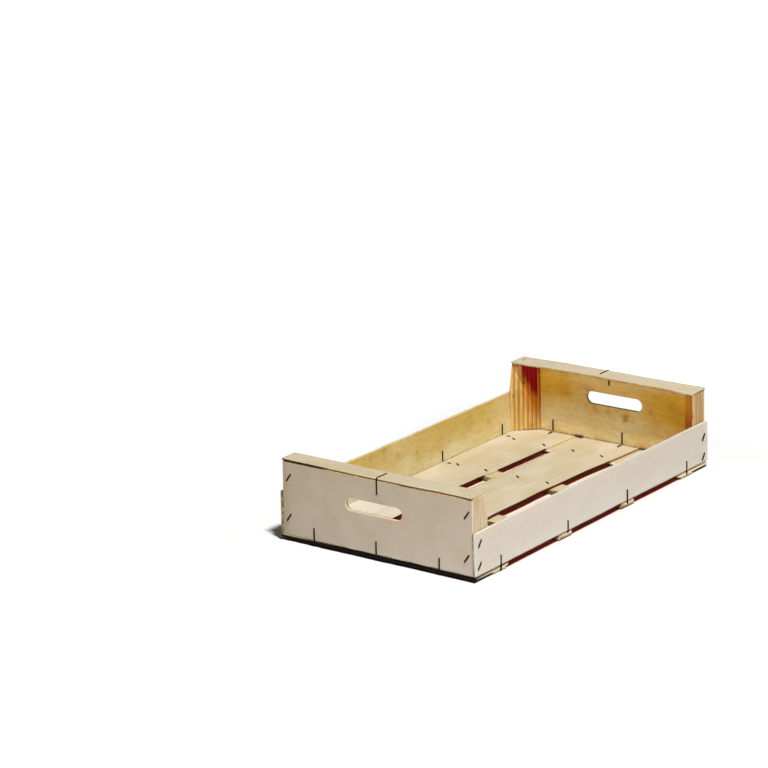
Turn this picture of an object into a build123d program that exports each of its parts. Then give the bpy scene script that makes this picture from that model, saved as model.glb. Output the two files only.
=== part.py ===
from build123d import *
import os

# Shallow harvest crate, stitched from peeled wood: two slotted ends, two low sides, four triangular
# corner posts, two cap strips, and a floor of three boards on soles and crossbars.
# Millimetres. X runs across the crate, Y along it and Z up. The origin is the middle of the
# footprint, on the surface that the crossbars stand on.

# Overall
overall_length = 600.0
overall_width = 330.0
overall_height = 120.0

# Side panels
side_thickness = 4.0
side_height = 63.0

# End panels: set back from the ends of the sides, with an open joint to each side and to the cap
end_thickness = 4.5
end_inset = 1.5
edge_gap = 0.4
cap_gap = 0.8

# Hand slots, measured from the cap's top and, as seen from outside, from the middle of the panel
slot_length = 96.0
slot_height = 18.0
slot_drop = 45.5
front_slot_shift = -1.0
back_slot_shift = -5.5

# Corner posts and caps
post_leg = 31.0
cap_thickness = 3.0

# Bottom layers, from the ground up: end crossbars, soles, boards
foot_thickness = 3.5
sole_thickness = 3.0
board_thickness = 2.5
sole_width = 78.0
crossbar_width = 32.0
end_crossbar_inset = 57.5
crossbar_count = 4

# Floor boards, hand-fed and so not quite parallel: each has a width at the front and at the back
board_inset = 1.5
left_board_front = 87.5
left_board_back = 98.5
right_board_front = 99.5
right_board_back = 98.0
left_gap_front = 20.5
left_gap_back = 15.5
right_gap_front = 26.0
right_gap_back = 13.0

# Stitching wire, the room around it in the wood, and how deep a clinched leg beds itself
wire_size = 1.4
wire_clearance = 0.05
clinch_bite = 0.7

# Diagonal staples into the posts
staple_lean = 54.0
staple_bite = 11.0
end_staple_crown = 13.5
end_staple_edge = 10.0
end_staple_drop = 27.0
end_staple_rise = 24.0
side_staple_crown = 12.0
side_staple_edge = 12.0
side_staple_drop = 22.0
side_staple_rise = 11.0

# L-shaped bottom stitches: rise above the floor, clinched leg, room behind the panel, tail on the floor
end_stitch_rise = 18.0
side_stitch_rise = 15.5
stitch_clinch = 12.0
stitch_set = 3.0
stitch_tail = 10.0
end_stitch_offset = 107.0
front_middle_stitch = 0.0
back_middle_stitch = -19.0

# Cap stitches and cap staples
cap_stitch_reach = 24.0
cap_stitch_drop = 25.0
cap_stitch_clinch = 10.0
cap_stitch_tail = 8.0
front_cap_stitch = 3.0
back_cap_stitch = 6.0
cap_staple_crown = 12.0
cap_staple_edge = 11.0
cap_staple_set = 10.0

# Floor staples, set in from the edges of each board and clinched inwards on its top
floor_staple_crown = 9.0
floor_staple_turn = -25.0
floor_staple_tail = 3.6
outer_edge_margin = 28.5
inner_edge_margin = 13.5
middle_board_margin = 24.5

# Levels
board_bottom = foot_thickness + sole_thickness
floor_top = board_bottom + board_thickness
side_top = floor_top + side_height
cap_bottom = overall_height - cap_thickness
end_top = cap_bottom - cap_gap
slot_centre = overall_height - slot_drop

# Faces and lengths that follow
side_face = overall_width / 2
side_inner = side_face - side_thickness
end_face = overall_length / 2 - end_inset
end_inner = end_face - end_thickness
end_width = 2 * (side_inner - edge_gap)
end_height = end_top - floor_top
post_height = cap_bottom - floor_top
cap_width = 2 * side_inner
cap_depth = end_thickness + post_leg
board_edge = side_face - board_inset
board_end = end_face - board_inset
crossbar_reach = end_face - end_crossbar_inset
crossbar_pitch = 2 * crossbar_reach / (crossbar_count - 1)
crossbar_places = [-crossbar_reach + i * crossbar_pitch for i in range(crossbar_count)]
bed_size = wire_size + 2 * wire_clearance
wire_half = wire_size / 2
clinch_lift = wire_half - clinch_bite

# Board edges as (x at the front, x at the back)
left_board_inner = (left_board_front - board_edge, left_board_back - board_edge)
right_board_inner = (board_edge - right_board_front, board_edge - right_board_back)
middle_board_left = (left_board_inner[0] + left_gap_front, left_board_inner[1] + left_gap_back)
middle_board_right = (right_board_inner[0] - right_gap_front, right_board_inner[1] - right_gap_back)

# Outer faces of the four walls: local x to the right as seen from outside, y up, z outwards
walls = {
    "front": Plane(origin=(0, -end_face, 0), x_dir=(1, 0, 0), z_dir=(0, -1, 0)),
    "back": Plane(origin=(0, end_face, 0), x_dir=(-1, 0, 0), z_dir=(0, 1, 0)),
    "left": Plane(origin=(-side_face, 0, 0), x_dir=(0, -1, 0), z_dir=(-1, 0, 0)),
    "right": Plane(origin=(side_face, 0, 0), x_dir=(0, 1, 0), z_dir=(1, 0, 0)),
}
end_signs = {"front": -1, "back": 1}
side_signs = {"left": -1, "right": 1}


def edge_at(edge, y):
    """X of a board edge at y, on the straight line from its front end to its back end."""
    front_x, back_x = edge
    share = (y + board_end) / (2 * board_end)
    return front_x + (back_x - front_x) * share


def staple_path(crown, depth):
    """Corners of a plain staple: local x along the crown, local y into the wood."""
    return [(-crown / 2, depth), (-crown / 2, wire_half), (crown / 2, wire_half), (crown / 2, depth)]


def wall_staple(wall, along, height, crown, depth):
    """A leaning staple whose crown is flush with the outer face of a wall."""
    face = walls[wall]
    crown_dir = face.x_dir.rotate(Axis((0, 0, 0), face.z_dir), staple_lean)
    origin = face.from_local_coords((along, height, 0))
    plane = Plane(origin=origin, x_dir=crown_dir, z_dir=crown_dir.cross(-face.z_dir))
    return plane, staple_path(crown, depth)


def upright_plane(wall, along):
    """Plane square to a wall: local x runs into the crate and local y up, with y = 0 on the ground."""
    face = walls[wall]
    origin = face.from_local_coords((along, 0, 0))
    return Plane(origin=origin, x_dir=-face.z_dir, z_dir=(-face.z_dir).cross(face.y_dir))


def bottom_stitch(wall, along, thickness, rise, underside):
    """Stitch down a wall and under the bottom, with both legs clinched inside the crate."""
    upper = floor_top + rise
    lower = underside + wire_half
    inner = thickness + clinch_lift
    foot = thickness + stitch_set
    tail_level = floor_top + clinch_lift
    path = [
        (inner, upper - stitch_clinch),
        (inner, upper),
        (wire_half, upper),
        (wire_half, lower),
        (foot, lower),
        (foot, tail_level),
        (foot + stitch_tail, tail_level),
    ]
    return upright_plane(wall, along), path


def cap_stitch(wall, along):
    """Stitch over a cap and down the end panel, clinched under the cap and up the inside."""
    lower = overall_height - cap_stitch_drop
    upper = overall_height - wire_half
    inner = end_thickness + clinch_lift
    under_cap = cap_bottom - clinch_lift
    path = [
        (inner, lower + cap_stitch_clinch),
        (inner, lower),
        (wire_half, lower),
        (wire_half, upper),
        (cap_stitch_reach, upper),
        (cap_stitch_reach, under_cap),
        (cap_stitch_reach - cap_stitch_tail, under_cap),
    ]
    return upright_plane(wall, along), path


def cap_staple(end, side):
    """Staple down through one end of a cap into its post, with the crown along the crate."""
    x = side_signs[side] * (side_inner - cap_staple_edge)
    y = end_signs[end] * (end_inner - cap_staple_set)
    plane = Plane(origin=(x, y, overall_height), x_dir=(0, 1, 0), z_dir=(-1, 0, 0))
    return plane, staple_path(cap_staple_crown, cap_thickness + staple_bite)


def floor_staple(x, y):
    """Staple up through a crossbar and a board, clinched inwards on the floor."""
    crown_dir = Vector(1, 0, 0).rotate(Axis.Z, floor_staple_turn)
    plane = Plane(origin=(x, y, 0), x_dir=crown_dir, z_dir=crown_dir.cross(Vector(0, 0, 1)))
    half = floor_staple_crown / 2
    level = floor_top + clinch_lift
    path = [
        (floor_staple_tail - half, level),
        (-half, level),
        (-half, wire_half),
        (half, wire_half),
        (half, level),
        (half - floor_staple_tail, level),
    ]
    return plane, path


def bent_wire(seam, size):
    """Square wire of the given size along a seam, which is a plane and the corners of a path in it."""
    plane, path = seam
    with BuildPart() as wire:
        with BuildSketch(plane):
            with BuildLine():
                Polyline(*path)
            trace(line_width=size)
        extrude(amount=size / 2, both=True)
    return wire.part


def write_node(node, name):
    """Label a finished piece and write it as one file."""
    node.part.label = name
    export_step(node.part, f"parts/{name}.step")


# Seams, by the node that holds their wire
seams = {}
for wall in end_signs:
    along = end_width / 2 + edge_gap - end_staple_edge
    heights = (overall_height - end_staple_drop, floor_top + end_staple_rise)
    depth = end_thickness + staple_bite
    seams[f"post_staples_{wall}"] = [
        wall_staple(wall, sign * along, height, end_staple_crown, depth)
        for sign in (-1, 1)
        for height in heights
    ]
for wall in side_signs:
    along = overall_length / 2 - side_staple_edge
    heights = (side_top - side_staple_drop, floor_top + side_staple_rise)
    depth = side_thickness + staple_bite
    seams[f"post_staples_{wall}"] = [
        wall_staple(wall, sign * along, height, side_staple_crown, depth)
        for sign in (-1, 1)
        for height in heights
    ]
for wall, middle in (("front", front_middle_stitch), ("back", back_middle_stitch)):
    seams[f"bottom_stitches_{wall}"] = [
        bottom_stitch(wall, along, end_thickness, end_stitch_rise, foot_thickness)
        for along in (-end_stitch_offset, middle, end_stitch_offset)
    ]
for wall in side_signs:
    seams[f"bottom_stitches_{wall}"] = [
        bottom_stitch(wall, place, side_thickness, side_stitch_rise, 0) for place in crossbar_places
    ]
for wall, along in (("front", front_cap_stitch), ("back", back_cap_stitch)):
    seams[f"cap_stitch_{wall}"] = [cap_stitch(wall, along)]
    seams[f"cap_staples_{wall}"] = [cap_staple(wall, side) for side in side_signs]
for number, y in enumerate(crossbar_places, start=1):
    board_lines = [
        -board_edge + outer_edge_margin,
        edge_at(left_board_inner, y) - inner_edge_margin,
        edge_at(middle_board_left, y) + middle_board_margin,
        edge_at(middle_board_right, y) - middle_board_margin,
        edge_at(right_board_inner, y) + inner_edge_margin,
        board_edge - outer_edge_margin,
    ]
    seams[f"floor_staples_{number}"] = [floor_staple(x, y) for x in board_lines]

# The bed that each wire cuts in the wood
beds = {name: [bent_wire(seam, bed_size) for seam in group] for name, group in seams.items()}
floor_beds = [bed for number in range(1, crossbar_count + 1) for bed in beds[f"floor_staples_{number}"]]
side_beds = beds["bottom_stitches_left"] + beds["bottom_stitches_right"]
end_beds = beds["bottom_stitches_front"] + beds["bottom_stitches_back"]

os.makedirs("parts", exist_ok=True)

# Wire staples and stitches
for name, group in seams.items():
    with BuildPart() as stitching:
        add([bent_wire(seam, wire_size) for seam in group])
    write_node(stitching, name)

# End panels
for wall, slot_shift in (("front", front_slot_shift), ("back", back_slot_shift)):
    panel_beds = beds[f"post_staples_{wall}"] + beds[f"bottom_stitches_{wall}"] + beds[f"cap_stitch_{wall}"]
    with BuildPart() as end_panel:
        with BuildSketch(walls[wall]):
            with Locations((0, floor_top + end_height / 2)):
                Rectangle(end_width, end_height)
            with Locations((slot_shift, slot_centre)):
                SlotOverall(slot_length, slot_height, mode=Mode.SUBTRACT)
        extrude(amount=-end_thickness)
        add(panel_beds, mode=Mode.SUBTRACT)
    write_node(end_panel, f"end_panel_{wall}")

# Side panels
for wall in side_signs:
    with BuildPart() as side_panel:
        with BuildSketch(walls[wall]):
            with Locations((0, floor_top + side_height / 2)):
                Rectangle(overall_length, side_height)
        extrude(amount=-side_thickness)
        add(beds[f"post_staples_{wall}"] + beds[f"bottom_stitches_{wall}"], mode=Mode.SUBTRACT)
    write_node(side_panel, f"side_panel_{wall}")

# Corner posts: a right-angled triangle in each corner, standing on the floor boards
for end, y_sign in end_signs.items():
    for side, x_sign in side_signs.items():
        corner = (x_sign * side_inner, y_sign * end_inner)
        along_end = (corner[0] - x_sign * post_leg, corner[1])
        along_side = (corner[0], corner[1] - y_sign * post_leg)
        post_beds = beds[f"post_staples_{end}"] + beds[f"post_staples_{side}"] + beds[f"cap_staples_{end}"]
        with BuildPart() as corner_post:
            with BuildSketch(Plane.XY.offset(floor_top)):
                with BuildLine():
                    Polyline(corner, along_end, along_side, close=True)
                make_face()
            extrude(amount=post_height)
            add(post_beds, mode=Mode.SUBTRACT)
        write_node(corner_post, f"corner_post_{end}_{side}")

# Cap strips
for end, y_sign in end_signs.items():
    with BuildPart() as cap_strip:
        with BuildSketch(Plane.XY.offset(cap_bottom)):
            with Locations((0, y_sign * (end_face - cap_depth / 2))):
                Rectangle(cap_width, cap_depth)
        extrude(amount=cap_thickness)
        add(beds[f"cap_stitch_{end}"] + beds[f"cap_staples_{end}"], mode=Mode.SUBTRACT)
    write_node(cap_strip, f"cap_strip_{end}")

# Floor boards, each between two slightly skewed edges
board_edges = {
    "left": ((-board_edge, -board_edge), left_board_inner),
    "middle": (middle_board_left, middle_board_right),
    "right": (right_board_inner, (board_edge, board_edge)),
}
for name, (low_edge, high_edge) in board_edges.items():
    corners = [
        (low_edge[0], -board_end),
        (high_edge[0], -board_end),
        (high_edge[1], board_end),
        (low_edge[1], board_end),
    ]
    with BuildPart() as floor_board:
        with BuildSketch(Plane.XY.offset(board_bottom)):
            with BuildLine():
                Polyline(*corners, close=True)
            make_face()
        extrude(amount=board_thickness)
        add(floor_beds + side_beds + end_beds, mode=Mode.SUBTRACT)
    write_node(floor_board, f"floor_board_{name}")

# End soles, between the boards and the end crossbars
for end, y_sign in end_signs.items():
    with BuildPart() as end_sole:
        with BuildSketch(Plane.XY.offset(foot_thickness)):
            with Locations((0, y_sign * (end_face - sole_width / 2))):
                Rectangle(overall_width, sole_width)
        extrude(amount=sole_thickness)
        add(floor_beds + side_beds + beds[f"bottom_stitches_{end}"], mode=Mode.SUBTRACT)
    write_node(end_sole, f"end_sole_{end}")

# Crossbars: thin under the soles at both ends, full depth in the middle
for number, y in enumerate(crossbar_places, start=1):
    is_end = number in (1, crossbar_count)
    with BuildPart() as crossbar:
        with BuildSketch():
            with Locations((0, y)):
                Rectangle(overall_width, crossbar_width)
        extrude(amount=foot_thickness if is_end else board_bottom)
        add(beds[f"floor_staples_{number}"] + side_beds, mode=Mode.SUBTRACT)
    write_node(crossbar, f"crossbar_{number}")
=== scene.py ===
# %% [markdown]
# A shallow harvest crate, dressed for its portrait.
#
# The crate is sawn and peeled wood held by black wire: two slotted ends, two low sides, four
# triangular posts, two cap strips and a floor of three boards on soles and crossbars. The packed
# model gives every piece its place. This lesson replaces each plain solid by a surface worked out
# with numpy, so that edges are rounded and a little uneven, and gives each kind of wood its own finish.

# %% Load the frame
import bpy
import numpy as np
from mathutils import Matrix, Vector


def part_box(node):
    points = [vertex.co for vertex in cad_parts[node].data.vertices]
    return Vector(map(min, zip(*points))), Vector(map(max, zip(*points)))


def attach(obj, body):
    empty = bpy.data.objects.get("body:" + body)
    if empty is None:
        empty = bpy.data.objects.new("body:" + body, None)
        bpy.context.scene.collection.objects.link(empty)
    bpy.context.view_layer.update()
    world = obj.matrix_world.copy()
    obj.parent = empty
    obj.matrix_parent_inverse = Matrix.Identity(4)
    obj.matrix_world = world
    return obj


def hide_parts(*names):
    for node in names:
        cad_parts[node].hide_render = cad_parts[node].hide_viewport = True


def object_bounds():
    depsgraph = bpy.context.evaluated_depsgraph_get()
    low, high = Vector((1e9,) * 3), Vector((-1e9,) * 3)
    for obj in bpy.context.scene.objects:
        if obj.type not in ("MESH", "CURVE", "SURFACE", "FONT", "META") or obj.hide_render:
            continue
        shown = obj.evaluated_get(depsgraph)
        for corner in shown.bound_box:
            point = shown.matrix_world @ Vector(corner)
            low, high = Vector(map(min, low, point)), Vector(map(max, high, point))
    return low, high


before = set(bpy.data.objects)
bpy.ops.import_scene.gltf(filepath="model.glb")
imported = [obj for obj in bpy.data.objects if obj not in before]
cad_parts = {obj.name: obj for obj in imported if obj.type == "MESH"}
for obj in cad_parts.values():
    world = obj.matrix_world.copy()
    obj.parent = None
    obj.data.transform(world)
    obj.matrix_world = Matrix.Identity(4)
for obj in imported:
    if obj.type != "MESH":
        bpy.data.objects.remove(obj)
cad_low, cad_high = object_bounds()
MM = 0.001
print("CAD box, mm:", [round(v / MM, 1) for v in (*cad_low, *cad_high)])

# %% [markdown]
# The camera stands where the photographer stood: to the right of the near end, a little above the
# rim, far away with a long lens, so that edges which are parallel on the crate stay nearly parallel
# in the picture. A slight roll is part of the picture too. The matrix is built from the viewing
# direction itself, because a tracking constraint would leave no roll.

# %% Camera
view_turn, view_rise, view_roll = np.radians((36.997, 16.649, -1.409))
camera_place = Vector((2.4936, -3.5810, 1.4848))
lens_mm, sensor_mm = 150.0, 36.0
clip_near, clip_far = 0.1, 100.0

toward_camera = Vector((
    np.sin(view_turn) * np.cos(view_rise),
    -np.cos(view_turn) * np.cos(view_rise),
    np.sin(view_rise),
))
level_right = (-toward_camera).cross(Vector((0, 0, 1))).normalized()
level_up = level_right.cross(-toward_camera)
camera_right = np.cos(view_roll) * level_right + np.sin(view_roll) * level_up
camera_up = np.cos(view_roll) * level_up - np.sin(view_roll) * level_right
facing = Matrix((camera_right, camera_up, toward_camera)).transposed().to_4x4()

lens = bpy.data.cameras.new("portrait_lens")
lens.lens, lens.sensor_width = lens_mm, sensor_mm
lens.clip_start, lens.clip_end = clip_near, clip_far
camera = bpy.data.objects.new("portrait_camera", lens)
camera.matrix_world = Matrix.Translation(camera_place) @ facing
scene = bpy.context.scene
scene.collection.objects.link(camera)
scene.camera = camera
print("camera distance, m:", round(camera_place.length, 2))

# %% [markdown]
# Finishes are node trees. A bench holds one tree and knows the few steps that finishes are made of:
# arithmetic, mixing two colours, spreading a band of values over 0 to 1 with a smooth step, and noise
# that is stretched along the grain. A group is a bench with named sockets, which goes on another bench
# as one node. Every finish is kept under its name, and a piece's slot has the same name as its finish.

# %% Node bench
wood_gloss, bump_strength = 0.10, 0.6
finishes = {}


class Bench:
    """A node tree, and the steps by which nodes are added to it."""

    def __init__(self, tree):
        self.tree = tree

    def node(self, kind, **settings):
        """A new node of a kind, with its settings."""
        made = self.tree.nodes.new("ShaderNode" + kind)
        for label, value in settings.items():
            setattr(made, label, value)
        return made

    def feed(self, socket, source):
        """Links an output to a socket, or sets the socket to a plain value. Plain colours are opaque."""
        if isinstance(source, bpy.types.NodeSocket):
            self.tree.links.new(source, socket)
        else:
            socket.default_value = (*source, 1.0) if socket.type == "RGBA" else source

    def feed_all(self, sockets, sources):
        """Feeds sockets by name."""
        for label, source in sources.items():
            self.feed(sockets[label], source)

    def step(self, operation, first, second=0.0, clamp=False):
        """One arithmetic step on two values."""
        node = self.node("Math", operation=operation, use_clamp=clamp)
        self.feed_all(node.inputs, {0: first, 1: second})
        return node.outputs[0]

    def times(self, first, second):
        """The product of two values."""
        return self.step("MULTIPLY", first, second)

    def plus(self, first, second, clamp=False):
        """The sum of two values."""
        return self.step("ADD", first, second, clamp)

    def vectors(self, operation, first, second=(0.0, 0.0, 0.0), output="Vector"):
        """One arithmetic step on two vectors."""
        node = self.node("VectorMath", operation=operation)
        self.feed_all(node.inputs, {0: first, 1: second})
        return node.outputs[output]

    def mixed(self, share, first, second, blend="MIX"):
        """The first colour, taken towards the second by a share."""
        node = self.node("Mix", data_type="RGBA", blend_type=blend)
        self.feed_all(node.inputs, {0: share, 6: first, 7: second})
        return node.outputs[2]

    def spread(self, value, low, high):
        """A smooth step from 0 at low to 1 at high."""
        node = self.node("MapRange", interpolation_type="SMOOTHSTEP")
        self.feed_all(node.inputs, {"Value": value, "From Min": low, "From Max": high})
        return node.outputs["Result"]

    def cloud(self, place, stretch, scale, detail=2.0, distortion=0.0, roughness=0.5):
        """Noise of 0 to 1. A stretch below 1 draws it out along the grain."""
        mapping = self.node("Mapping")
        self.feed_all(mapping.inputs, {"Vector": place, "Scale": (stretch, 1.0, 1.0)})
        noise = self.node("TexNoise")
        self.feed_all(noise.inputs, {
            "Vector": mapping.outputs["Vector"], "Scale": scale, "Detail": detail,
            "Distortion": distortion, "Roughness": roughness,
        })
        return noise.outputs["Fac"]

    def own_value(self, label, output="Fac"):
        """Reads one of the piece's own values."""
        return self.node("Attribute", attribute_name=label).outputs[output]

    def placed(self, group, **sources):
        """Puts a group on the bench and feeds its sockets by name, with underscores for spaces."""
        node = self.node("Group", node_tree=group.tree)
        self.feed_all(node.inputs, {label.replace("_", " "): source for label, source in sources.items()})
        return node.outputs


def new_group(name, inputs, outputs):
    """An empty group, whose sockets are listed by kind: its bench, what it is given and its results."""
    tree = bpy.data.node_groups.new(name, "ShaderNodeTree")
    for in_out, kinds in (("INPUT", inputs), ("OUTPUT", outputs)):
        for kind, labels in kinds.items():
            for label in labels:
                tree.interface.new_socket(label, in_out=in_out, socket_type="NodeSocket" + kind)
    return Bench(tree), tree.nodes.new("NodeGroupInput").outputs, tree.nodes.new("NodeGroupOutput").inputs


def new_finish(name):
    """An empty finish, kept under its name: its bench and the sockets of its shader."""
    finish = bpy.data.materials.new(name)
    finish.use_nodes = True
    finishes[name] = finish
    sockets = finish.node_tree.nodes["Principled BSDF"].inputs
    sockets["Specular IOR Level"].default_value = wood_gloss
    return Bench(finish.node_tree), sockets


def finish_surface(bench, sockets, coat, distance):
    """Leads a coat's colour, roughness and height to the shader."""
    bump = bench.node("Bump")
    bench.feed_all(bump.inputs, {"Strength": bump_strength, "Distance": distance, "Height": coat["Height"]})
    bench.feed_all(sockets, {
        "Base Color": coat["Colour"], "Roughness": coat["Roughness"], "Normal": bump.outputs["Normal"]})


print("bench ready")

# %% [markdown]
# One round lamp hangs high to the right of the near end. Its light falls steeply, so the floor boards
# are the brightest faces, the right side and the inside of the left one come next, and the near end gets
# little. The shadow falls to the left, where the crate hides most of it. A wide weak fill stands low in
# front and reaches under the far cap; the floor is kept out of it. The floor is pale and glows away from
# the crate, as a lit studio sweep does, which keeps the background white without washing out the shadows.
# Under the crate the floor is painted darker and warmer and glows faintly deep red: painted shade, which
# makes the shade under the crate dark red. The Standard view keeps the colours as they are set.

# %% Floor and light
scene.view_settings.view_transform = "Standard"
white = (1.0, 1.0, 1.0)
floor_half, floor_drop, floor_rough = 20.0, 0.0003, 0.9
# The floor's second colour and its deep red glow under the crate are painted shade.
floor_pale, floor_painted_shade = (0.80, 0.80, 0.80), (0.80, 0.68, 0.58)
glow_start, glow_full, glow_strength = 0.05, 0.60, 0.95
shade_red, shade_strength, shade_edge = (1.0, 0.005, 0.008), 0.062, 0.003
shade_middle, shade_half = (0.0375, 0.013, 0.0), (0.1275, 0.247, 1.0)
lamp_place, lamp_size, lamp_power = Vector((1.30, -0.88, 3.90)), 0.5, 228.0
fill_place, fill_size, fill_power = Vector((0.75, -4.10, 1.65)), 2.0, 61.5
sky_strength = 0.035


def beyond_box(bench, place, middle, half):
    """Distance to a box: the length of what is left of a place after the half sizes are taken off."""
    from_middle = bench.vectors("ABSOLUTE", bench.vectors("SUBTRACT", place, middle))
    left_over = bench.vectors("MAXIMUM", bench.vectors("SUBTRACT", from_middle, half))
    return bench.vectors("LENGTH", left_over, output="Value")


def soft_lamp(name, place, size, power):
    """A round lamp at a place, facing the crate, with its size in metres and its power in watts."""
    light = bpy.data.lights.new(name, "AREA")
    light.shape, light.size, light.energy = "DISK", size, power
    lamp = bpy.data.objects.new(name, light)
    lamp.location = place
    lamp.rotation_mode = "QUATERNION"
    lamp.rotation_quaternion = place.to_track_quat("Z", "Y")
    scene.collection.objects.link(lamp)
    return lamp


sweep, sweep_sockets = new_finish("studio_sweep")
on_floor = sweep.node("TexCoord").outputs["Object"]
from_crate = beyond_box(sweep, on_floor, (0.0, 0.0, 0.0), (cad_high[0], cad_high[1], 1.0))
away_glow = sweep.times(sweep.spread(from_crate, glow_start, glow_full), glow_strength)
# The under mask covers the crate's footprint, where the painted shade goes.
under = sweep.spread(beyond_box(sweep, on_floor, shade_middle, shade_half), shade_edge, 0.0)
sweep.feed_all(sweep_sockets, {
    "Roughness": floor_rough, "Specular IOR Level": 0.0,
    "Base Color": sweep.mixed(under, floor_pale, floor_painted_shade),
    "Emission Color": sweep.mixed(under, white, shade_red),
    "Emission Strength": sweep.plus(away_glow, sweep.times(under, shade_strength)),
})

floor_corners = floor_half * np.array([(-1, -1), (1, -1), (1, 1), (-1, 1)])
floor_mesh = bpy.data.meshes.new("studio_floor")
floor_mesh.from_pydata([(x, y, -floor_drop) for x, y in floor_corners], [], [(0, 1, 2, 3)])
floor_mesh.materials.append(finishes["studio_sweep"])
studio_floor = bpy.data.objects.new("studio_floor", floor_mesh)
scene.collection.objects.link(studio_floor)

soft_lamp("overhead_lamp", lamp_place, lamp_size, lamp_power)
fill_lamp = soft_lamp("front_fill", fill_place, fill_size, fill_power)
kept_out = bpy.data.collections.new("kept_from_fill")
kept_out.objects.link(studio_floor)
kept_out.collection_objects[0].light_linking.link_state = "EXCLUDE"
fill_lamp.light_linking.receiver_collection = kept_out

scene.world = bpy.data.worlds.new("studio")
scene.world.use_nodes = True
sky = Bench(scene.world.node_tree)
sky.tree.nodes.clear()
lit_or_seen = sky.node("MixShader")
sky.feed(lit_or_seen.inputs[0], sky.node("LightPath").outputs["Is Camera Ray"])
for socket, strength in ((1, sky_strength), (2, 1.0)):
    background = sky.node("Background")
    sky.feed_all(background.inputs, {"Color": white, "Strength": strength})
    sky.feed(lit_or_seen.inputs[socket], background.outputs[0])
sky.feed(sky.node("OutputWorld").inputs["Surface"], lit_or_seen.outputs[0])
print("lamp over", tuple(round(v, 2) for v in lamp_place), "sky", sky_strength)

# %% [markdown]
# Every wooden piece is an outline carried along a straight path: a rectangle for planks, a triangle
# for posts. A corner is rounded by shrinking the outline by the radius and pushing it out again along
# its normals, which also gives the rounding of the ends: there the push grows from nothing like a
# quarter circle. Small seeded ripples then take the machine-made straightness away.

# %% Outlines, ripples and grids
corner_steps, end_steps = 3, 3
edge_band = 1.3 * MM
wave_count, shortest_wave, longest_wave = 6, 0.6, 1.8


def ripple(seed, wavelength, *coordinates):
    """Smooth noise of about -1 to 1: six sine waves of seeded direction, length and phase, added up."""
    draw = np.random.default_rng(seed)
    total = 0.0
    for _ in range(wave_count):
        direction = draw.normal(size=len(coordinates))
        direction /= np.linalg.norm(direction)
        length = wavelength * draw.uniform(shortest_wave, longest_wave)
        phase = draw.uniform(0.0, 2 * np.pi)
        along = sum(d * c for d, c in zip(direction, coordinates))
        total = total + np.sin(2 * np.pi * along / length + phase)
    return total / (wave_count / 2)


def ramp(value, low, high):
    """Smooth step: 0 below low, 1 above high, and three squares minus two cubes between."""
    share = np.clip((value - low) / (high - low), 0.0, 1.0)
    return share * share * (3.0 - 2.0 * share)


def broken(seed, length, along, least, most):
    """A line that comes and goes: ripples, cut off to 0 and 1."""
    return ramp(ripple(seed, length, along), least, most)


def rounded_outline(corners, radius, spacing):
    """A convex outline, anticlockwise: the corners moved in by the radius, and the normal to push each
    point out by, turning in equal steps at a corner and constant along an edge."""
    corners = np.asarray(corners, float)
    edges = np.roll(corners, -1, axis=0) - corners
    lengths = np.linalg.norm(edges, axis=1)
    normals = np.column_stack((edges[:, 1], -edges[:, 0])) / lengths[:, None]
    before = np.roll(normals, 1, axis=0)
    overlap = 1.0 + np.sum(before * normals, axis=1)
    inner = corners - radius * (before + normals) / overlap[:, None]
    bases, pushes = [], []
    for i in range(len(corners)):
        start = np.arctan2(before[i, 1], before[i, 0])
        turn = np.arctan2(normals[i, 1], normals[i, 0]) - start
        angles = start + (turn % (2 * np.pi)) * np.linspace(0.0, 1.0, corner_steps + 1)
        bases.append(np.repeat(inner[i][None], len(angles), axis=0))
        pushes.append(np.column_stack((np.cos(angles), np.sin(angles))))
        band = min(edge_band / lengths[i], 0.25)
        shares = np.linspace(band, 1.0 - band, max(int(lengths[i] / spacing), 1) + 1)[:, None]
        bases.append(inner[i] + shares * (inner[(i + 1) % len(corners)] - inner[i]))
        pushes.append(np.repeat(normals[i][None], len(shares), axis=0))
    return np.concatenate(bases), np.concatenate(pushes)


def carried(corners, radius, start, stop, spacing, across_spacing):
    """The outline at every station from start to stop: arrays of the distance along and of both places
    in the outline, the outline's normals, and how far each station belongs to an end, from 0 to 1."""
    bases, pushes = rounded_outline(corners, radius, across_spacing)
    quarter = np.linspace(0.0, np.pi / 2, end_steps + 1)
    first = start + radius * (1.0 - np.cos(quarter))
    last = (stop - radius * (1.0 - np.cos(quarter)))[::-1]
    middle = np.linspace(first[-1], last[0], max(int((stop - start) / spacing), 2))[1:-1]
    stations = np.concatenate((first, middle, last))
    swell = radius * np.sin(quarter)
    amount = np.concatenate((swell, np.full(len(middle), radius), swell[::-1]))
    points = bases[None] + amount[:, None, None] * pushes[None]
    along = np.repeat(stations[:, None], len(bases), axis=1)
    return along, points[..., 0], points[..., 1], pushes, 1.0 - amount / radius


def tube_faces(rows, columns):
    """Quads between neighbouring rings, and a fan of triangles to a middle point at each end."""
    index = np.arange(rows * columns).reshape(rows, columns)
    beside = np.roll(index, -1, axis=1)
    quads = np.stack((index[:-1], beside[:-1], beside[1:], index[1:]), axis=-1).reshape(-1, 4)
    first, last = rows * columns, rows * columns + 1
    start_fan = np.column_stack((np.full(columns, first), beside[0], index[0]))
    stop_fan = np.column_stack((np.full(columns, last), index[-1], beside[-1]))
    return quads, np.concatenate((start_fan, stop_fan))


def with_middles(grid):
    """A grid's values in one row, with the mean of its first and last ring for the two middle points."""
    return np.concatenate((grid.ravel(), [grid[0].mean(), grid[-1].mean()]))


print("ripple sample:", np.round(ripple(1, 0.1, np.linspace(0, 0.3, 4)), 2))
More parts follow.
